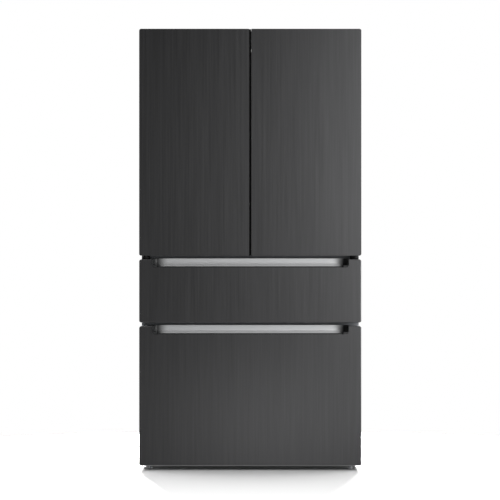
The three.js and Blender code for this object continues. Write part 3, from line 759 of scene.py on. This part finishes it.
# ---------------------------------------------------------------------------------------------
# Hinges: steel plates screwed to the cabinet, zinc plated above and powder coated black between
# the doors and the drawer, with black moulded covers clipped on over the top ones and a wiring cover
# between them. The middle hinges' black is partly painted shade, keeping the gap at the ends of the
# row dark. A black fin on the left door fills the slit between the doors: painted shade, a dark sheet
# where the slit lies in shadow.

zinc_plate, tree, shader = new_material("steel_zinc_plated", Metallic=1.0, Roughness=0.35)
plating = noise(tree, 90, 5)
tint(tree, shader, plating, "#b0b2b3", "#c8cacb")
roughen(tree, shader, plating, 0.26, 0.48)

# Black coat for the middle hinges and their screws, partly painted shade for the dark gap at the row's ends.
black_coat_and_gap_shade, tree, shader = new_material("steel_powder_coated_black_and_gap_shade", Roughness=0.7)
tint(tree, shader, noise(tree, 600, 3), "#0a0a0b", "#141415")

MIDDLE_HINGE_FACE = -0.2756
for hand, side in HANDS:
    dress(f"top_hinge_{hand}", 0.5 * MM, "cabinet", "zinc_steel", zinc_plate)
    dress(f"middle_hinge_{hand}", 0.5 * MM, "cabinet", "black_enamel", black_coat_and_gap_shade)
    dress(f"hinge_cover_{hand}", 2 * MM, "cabinet", "black_plastic", black_abs, 3)
    spots = [(side * x, MIDDLE_HINGE_FACE, z) for x in (0.413, 0.433) for z in (0.8515, 0.8665)]
    screws = screw_heads(f"middle_hinge_screws_{hand}", spots, "y", -1, 3 * MM)
    fit(screws, "cabinet", "black_enamel", black_coat_and_gap_shade)

WIRING_COVER_HALF = 395 * MM
wiring_cover = block("wiring_cover", (-WIRING_COVER_HALF, -0.268, 1.7603), (WIRING_COVER_HALF, -0.238, 1.780))
soften(wiring_cover, 2 * MM, 3)
fit(wiring_cover, "cabinet", "black_plastic", black_abs)

# Painted shade: a black fin fills the slit between the doors, dark where the slit lies in shadow.
slit_shade_black, tree, shader = new_material("slit_painted_shade_black", Roughness=0.7, IOR=1.5)
tint(tree, shader, noise(tree, 240, 4), "#060606", "#0d0d0d")
low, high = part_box("left_door_skin")
FIN_FRONT, FIN_BACK, FIN_TIP = -0.352, -0.348, 3.7 * MM
slit_shade_fin = block("door_slit_shade_fin", (high.x - 1 * MM, FIN_FRONT, low.z + 1 * MM),
            (FIN_TIP, FIN_BACK, high.z - 0.3 * MM))
soften(slit_shade_fin, 1 * MM, 2)
fit(slit_shade_fin, "left_door", "seal_rubber", slit_shade_black)


# ---------------------------------------------------------------------------------------------
# Runners: roll formed zinc plated channels on the liners, sliding members, and the freezer
# drawer's frame.

for side in ("left", "right"):
    for node_name in (f"middle_rail_{side}", f"freezer_rail_{side}"):
        dress(node_name, 0.6 * MM, "cabinet", "zinc_steel", zinc_plate)
    node_name = f"freezer_slide_{side}"
    dress(node_name, 0.8 * MM, node_name, "zinc_steel", zinc_plate)
dress("freezer_frame", 0.8 * MM, "freezer_drawer", "zinc_steel", zinc_plate)


# ---------------------------------------------------------------------------------------------
# Glass shelves: toughened glass with a polished edge, in white moulded rims front and back.

toughened_glass, tree, shader = new_material(
    "glass_toughened_polished", Roughness=0.02, IOR=1.5, Transmission_Weight=0.92)
tint(tree, shader, noise(tree, 2, 2), "#e3f1ec", "#ecf6f2")

for node_name in ("glass_shelf_upper", "glass_shelf_lower", "crisper_cover"):
    low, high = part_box(node_name)
    pane = block(f"{node_name}_pane", (low.x + 1.5 * MM, low.y + 4 * MM, low.z + 0.3 * MM),
                 (high.x - 1.5 * MM, high.y - 3 * MM, low.z + 4 * MM))
    soften(pane, 0.7 * MM, 2)
    fit(pane, "cabinet", "shelf_glass", toughened_glass, node_name)
    front_rim = block(f"{node_name}_front_rim", low, (high.x, low.y + 20 * MM, low.z + 14 * MM))
    round_edges(front_rim, 5 * MM, 5, lambda middle, along: abs(along.x) > 0.9 and middle.y < low.y + 1 * MM)
    soften(front_rim, 1 * MM, 2)
    fit(front_rim, "cabinet", "liner_plastic", white_polystyrene)
    rear_rim = block(f"{node_name}_rear_rim", (low.x, high.y - 12 * MM, low.z), high)
    soften(rear_rim, 2.5 * MM, 3)
    fit(rear_rim, "cabinet", "liner_plastic", white_polystyrene)


# ---------------------------------------------------------------------------------------------
# Bins, crispers, boxes and baskets: clear polystyrene, injection moulded, with drawn-in sides,
# round corners and a bead along the rim.

clear_styrene, tree, shader = new_material(
    "polystyrene_clear_moulded", Roughness=0.08, IOR=1.59, Transmission_Weight=0.85)
flow = noise(tree, 25, 2)
tint(tree, shader, flow, "#dfe9ee", "#edf4f7")
emboss(tree, shader, flow, 0.08, 0.3 * MM)


WALL = 2.8 * MM


def moulded_tub(name, low, high, corner, draft, wall=WALL):
    """An open box with round corners, whose sides draw in towards the floor."""
    tub = block(name, low, high)
    pick(tub, "FACE", lambda middle, normal: normal.z < -0.9)
    width, depth = high.x - low.x, high.y - low.y
    bpy.ops.transform.resize(value=((width - 2 * draft) / width, (depth - 2 * draft) / depth, 1),
                             center_override=((low.x + high.x) / 2, (low.y + high.y) / 2, low.z))
    round_edges(tub, corner, 5, lambda middle, along: abs(along.z) > 0.9 or middle.z < low.z + 1 * MM)
    pick(tub, "FACE", lambda middle, normal: normal.z > 0.9)
    bpy.ops.mesh.delete(type="FACE")
    modify(tub, "SOLIDIFY", thickness=wall, offset=-1, use_even_offset=True)
    soften(tub, 0.7 * MM, 2, angle=40, smooth_angle=35)
    return tub


def rim_bar(name, low, high, radius):
    """A straight moulded bar with round edges."""
    bar = block(name, low, high)
    soften(bar, radius, 3)
    return bar


for hand, side in HANDS:
    for level in ("lower", "upper"):
        node_name = f"{hand}_door_bin_{level}"
        low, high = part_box(node_name)
        tub = moulded_tub(f"{node_name}_tub", low, Vector((high.x, high.y - 1 * MM, high.z)),
                          12 * MM, 3 * MM, 2.6 * MM)
        fit(tub, f"{hand}_door", "clear_plastic", clear_styrene, node_name)
        band = rim_bar(f"{node_name}_band", (low.x + 1 * MM, high.y - 5 * MM, high.z - 22 * MM),
                       (high.x - 1 * MM, high.y, high.z), 2 * MM)
        fit(band, f"{hand}_door", "liner_plastic", white_polystyrene)
    node_name = f"crisper_{hand}"
    low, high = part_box(node_name)
    tub = moulded_tub(f"{node_name}_tub", Vector((low.x, low.y + 6 * MM, low.z)),
                      Vector((high.x, high.y, high.z - 4 * MM)), 14 * MM, 4 * MM)
    fit(tub, node_name, "clear_plastic", clear_styrene, node_name)
    pull = rim_bar(f"{node_name}_pull", (low.x, low.y, high.z - 34 * MM),
                   (high.x, low.y + 8.5 * MM, high.z), 3 * MM)
    fit(pull, node_name, "liner_plastic", white_polystyrene)

low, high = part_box("middle_box")
BOX_HALF = 352 * MM
RUNNER_INSIDE, RUNNER_OUTSIDE = 348 * MM, 379 * MM
RUNNER_LOW, RUNNER_TOP = 0.698, 0.714
tub = moulded_tub("middle_box_tub", Vector((-BOX_HALF, low.y, low.z)), Vector((BOX_HALF, high.y, high.z)),
                  14 * MM, 4 * MM)
fit(tub, "middle_drawer", "clear_plastic", clear_styrene, "middle_box")
for hand, side in HANDS:
    ends = sorted((side * RUNNER_INSIDE, side * RUNNER_OUTSIDE))
    runner = rim_bar(f"middle_box_runner_{hand}", (ends[0], -0.262, RUNNER_LOW),
                     (ends[1], high.y, RUNNER_TOP), 1.5 * MM)
    fit(runner, "middle_drawer", "liner_plastic", white_polystyrene)

low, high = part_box("freezer_basket")
BASKET_HALF = 345 * MM
LEDGE_INSIDE, LEDGE_OUTSIDE = 342 * MM, 362 * MM
LEDGE_LOW, LEDGE_TOP = 0.3384, 0.3430
tub = moulded_tub("freezer_basket_tub", Vector((-BASKET_HALF, low.y, low.z)),
                  Vector((BASKET_HALF, high.y, high.z)), 16 * MM, 5 * MM)
fit(tub, "freezer_drawer", "clear_plastic", clear_styrene, "freezer_basket")
for hand, side in HANDS:
    ends = sorted((side * LEDGE_INSIDE, side * LEDGE_OUTSIDE))
    ledge = rim_bar(f"freezer_basket_ledge_{hand}", (ends[0], -0.270, LEDGE_LOW),
                    (ends[1], 0.045, LEDGE_TOP), 1.2 * MM)
    fit(ledge, "freezer_drawer", "clear_plastic", clear_styrene)
low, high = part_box("freezer_tray")
tub = moulded_tub("freezer_tray_tub", low, high, 12 * MM, 3 * MM)
fit(tub, "freezer_tray", "clear_plastic", clear_styrene, "freezer_tray")


# ---------------------------------------------------------------------------------------------
# Mullion flap, levelling legs and rear rollers: the flap, the leg pads and the wheels are moulded
# in grey nylon, and the studs of the legs are zinc plated. The flap closes the gap between the
# doors.

grey_nylon, tree, shader = new_material("nylon_moulded_grey", Roughness=0.5, IOR=1.53)
spark_marks = noise(tree, 700, 3)
tint(tree, shader, spark_marks, "#8b8d90", "#999b9e")
emboss(tree, shader, spark_marks, 0.25, 0.1 * MM)

dress("mullion_flap", 1.5 * MM, "mullion_flap", "grey_plastic", grey_nylon, 3)
THREAD_PITCH = 1.6 * MM
for hand, side in HANDS:
    node_name = f"levelling_leg_{hand}"
    low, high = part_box(node_name)
    centre = ((low.x + high.x) / 2, (low.y + high.y) / 2, 0)
    pad = turned(f"leg_pad_{hand}", centre, "z", [
        (0, 8 * MM), (1 * MM, 9 * MM), (5.5 * MM, 9 * MM), (7 * MM, 7.6 * MM), (8 * MM, 6.2 * MM)], 24)
    fit(pad, node_name, "grey_plastic", grey_nylon)
    thread = [(7.5 * MM, 4.2 * MM)]
    for turn in range(int((high.z - 9.5 * MM) / THREAD_PITCH)):
        start = 8 * MM + turn * THREAD_PITCH
        thread += [(start + 0.5 * THREAD_PITCH, 4.95 * MM), (start + THREAD_PITCH, 4.2 * MM)]
    thread.append((high.z, 3.9 * MM))
    stud = turned(f"leg_stud_{hand}", centre, "z", thread, 20)
    fit(stud, node_name, "grey_plastic", zinc_plate, node_name)
    node_name = f"rear_roller_{hand}"
    low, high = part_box(node_name)
    centre = ((low.x + high.x) / 2, (low.y + high.y) / 2, (low.z + high.z) / 2)
    half = (high.x - low.x) / 2
    wheel = turned(f"roller_wheel_{hand}", centre, "x", [
        (-half, 3.9 * MM), (-9 * MM, 4 * MM), (-9 * MM, 11 * MM), (-8 * MM, 12.5 * MM),
        (-9 * MM, 14 * MM), (-8.6 * MM, 17 * MM), (-7.5 * MM, 18 * MM), (7.5 * MM, 18 * MM),
        (8.6 * MM, 17 * MM), (9 * MM, 14 * MM), (8 * MM, 12.5 * MM), (9 * MM, 11 * MM),
        (9 * MM, 4 * MM), (half, 3.9 * MM)], 40)
    fit(wheel, node_name, "grey_plastic", grey_nylon, node_name)


# ---------------------------------------------------------------------------------------------
# Machine compartment: the compressor in its black enamelled can, the condenser coil, its fan and
# the power inlet. The evaporator's fan is made here too, in the same plastic.

black_enamel, tree, shader = new_material("steel_enamelled_black", Roughness=0.28, IOR=1.5, Coat_Weight=0.3)
enamel_runs = noise(tree, 120, 3)
tint(tree, shader, enamel_runs, "#131414", "#1c1d1e")
emboss(tree, shader, enamel_runs, 0.2, 0.2 * MM)

compressor_plate = block("compressor_foot_plate", (-0.368, 0.160, 0.030), (-0.172, 0.312, 0.034))
soften(compressor_plate, 1 * MM, 2)
can = turned("compressor_can", (-0.270, 0.236, 0), "z", [
    (32 * MM, 68 * MM), (36 * MM, 76 * MM), (48 * MM, 84 * MM), (110 * MM, 84 * MM),
    (112 * MM, 84 * MM), (150 * MM, 83 * MM), (166 * MM, 77 * MM), (184 * MM, 62 * MM),
    (198 * MM, 38 * MM), (204 * MM, 12 * MM)], 48)
mounts = [turned("mount", (x * MM, y * MM, 0), "z", [
    (22.4 * MM, 11 * MM), (25 * MM, 10 * MM), (27 * MM, 11 * MM), (30 * MM, 9.5 * MM)], 20)
    for x in (-350, -190) for y in (176, 296)]
compressor = join_all("compressor_unit", [can, compressor_plate, *mounts])
fit(compressor, "cabinet", "black_enamel", black_enamel, "compressor")
dress("condenser_coil", 0.3 * MM, "cabinet", "black_enamel", black_enamel, 1)
for node_name in ("evaporator_fan", "condenser_fan"):
    dress(node_name, 0.5 * MM, node_name, "black_plastic", black_abs, dissolve=False)
dress("power_inlet", 1 * MM, "cabinet", "black_plastic", black_abs)


# ---------------------------------------------------------------------------------------------
# Wall foam: rigid polyurethane, poured between the sheet and the liners, with small closed cells.

CELL = 2.5 * MM
foam_cells, tree, shader = new_material("polyurethane_foam_rigid", Roughness=0.9)
place = node(tree, "ShaderNodeTexCoord").outputs["Object"]
cells = node(tree, "ShaderNodeTexVoronoi", {"Vector": place, "Scale": 1 / CELL})
tint(tree, shader, cells.outputs["Distance"], "#d8c686", "#e7d9a4")
emboss(tree, shader, cells.outputs["Distance"], 0.6, 1 * MM)
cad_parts["insulation_foam"].material_slots[0].material = foam_cells
